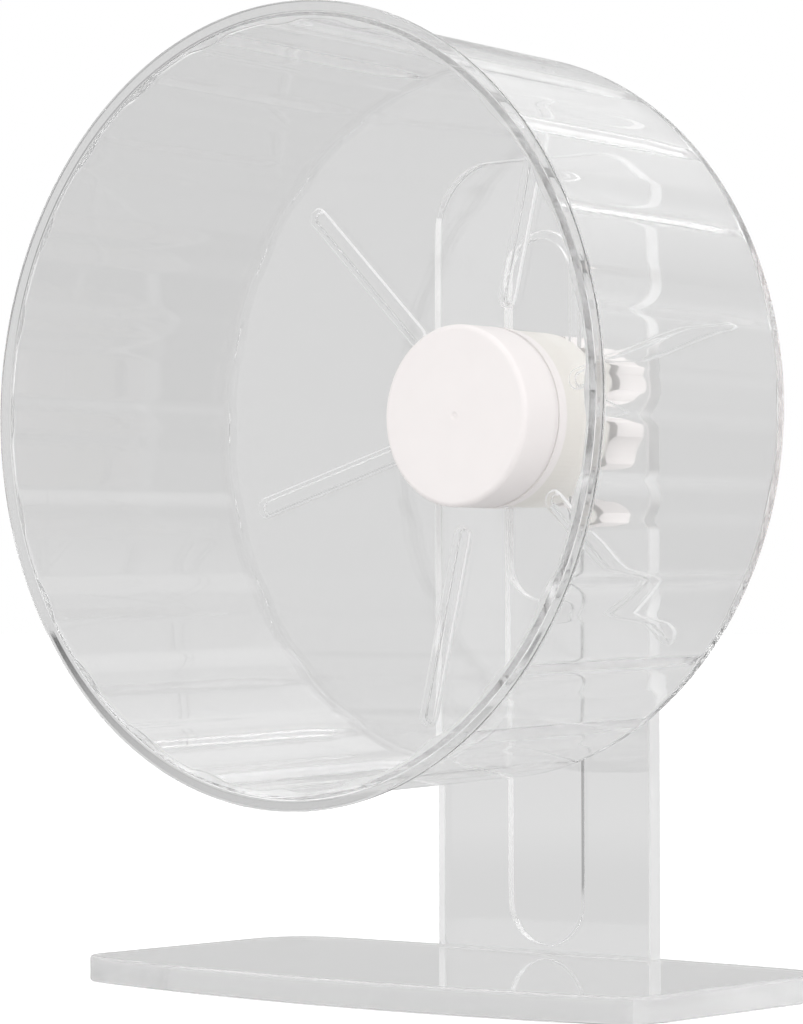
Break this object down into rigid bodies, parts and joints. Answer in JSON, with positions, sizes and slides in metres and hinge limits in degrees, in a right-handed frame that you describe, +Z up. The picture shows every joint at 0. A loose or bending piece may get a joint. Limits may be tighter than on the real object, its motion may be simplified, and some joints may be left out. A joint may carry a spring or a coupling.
{
  "type": "hamster wheel",
  "caption": "Clear running wheel for a hamster, with a ridged wall and a ribbed back disc, turning on ball bearings on a slotted stand that a rear knob clamps at the chosen height.",
  "frame": {"origin": "middle of the base plate's underside, on the floor", "axes": "+Z up, +Y from the wheel's open mouth towards its back and the upright, +X to the right seen from the open mouth; the wheel turns about +Y"},
  "size_m": [0.21, 0.1281, 0.2608],
  "materials": {
    "clear_drum": "clear moulded, polished",
    "clear_plate": "clear cast sheet, polished edges",
    "white_plastic": "white moulded, satin",
    "cream_plastic": "cream moulded, satin",
    "bearing_steel": "ground",
    "ball_steel": "polished",
    "shield_steel": "pressed",
    "cage_nylon": "natural moulded",
    "zinc_steel": "zinc plated",
    "axle_steel": "turned and ground",
    "spring_steel": "dark spring steel",
    "brass": "turned"
  },
  "bodies": {
    "stand": {"upright": "clear_plate", "base": "clear_plate"},
    "carriage": {"axle": "axle_steel", "standoff": "cream_plastic", "axle_nut": "zinc_steel", "front_bearing_inner_race": "bearing_steel", "rear_bearing_inner_race": "bearing_steel", "bearing_spacer": "bearing_steel", "retaining_ring": "spring_steel"},
    "wheel": {"drum": "clear_drum", "hub_cap": "white_plastic", "hub_shell": "white_plastic", "hub_screws": "zinc_steel", "front_bearing_outer_race": "bearing_steel", "rear_bearing_outer_race": "bearing_steel", "front_bearing_shields": "shield_steel", "rear_bearing_shields": "shield_steel"},
    "front_cage": {"front_bearing_balls": "ball_steel", "front_bearing_cage": "cage_nylon"},
    "rear_cage": {"rear_bearing_balls": "ball_steel", "rear_bearing_cage": "cage_nylon"},
    "clamp": {"clamp_washer": "zinc_steel"},
    "knob": {"clamp_knob": "white_plastic", "knob_insert": "brass"}
  },
  "joints": [
    {"name": "height_slide", "type": "slide", "parent": "stand", "child": "carriage", "axis": [0, 0, 1], "range_m": [-0.035, 0.035]},
    {"name": "wheel_spin", "type": "hinge", "parent": "carriage", "child": "wheel", "pos_m": [0, 0, 0.1558], "axis": [0, 1, 0], "continuous": true},
    {"name": "front_cage_orbit", "type": "hinge", "parent": "carriage", "child": "front_cage", "pos_m": [0, 0.01338, 0.1558], "axis": [0, 1, 0], "continuous": true},
    {"name": "rear_cage_orbit", "type": "hinge", "parent": "carriage", "child": "rear_cage", "pos_m": [0, 0.02138, 0.1558], "axis": [0, 1, 0], "continuous": true},
    {"name": "clamp_travel", "type": "slide", "parent": "carriage", "child": "clamp", "axis": [0, 1, 0], "range_m": [0, 0.00125]},
    {"name": "knob_turn", "type": "hinge", "parent": "clamp", "child": "knob", "pos_m": [0, 0.0571, 0.1558], "axis": [0, 1, 0], "range_deg": [0, 360]}
  ],
  "couplings": [
    {"joint": "front_cage_orbit", "follows": "wheel_spin", "ratio": 0.63233},
    {"joint": "rear_cage_orbit", "follows": "wheel_spin", "ratio": 0.63233},
    {"joint": "clamp_travel", "follows": "knob_turn", "m_per_rad": 0.00019894}
  ]
}
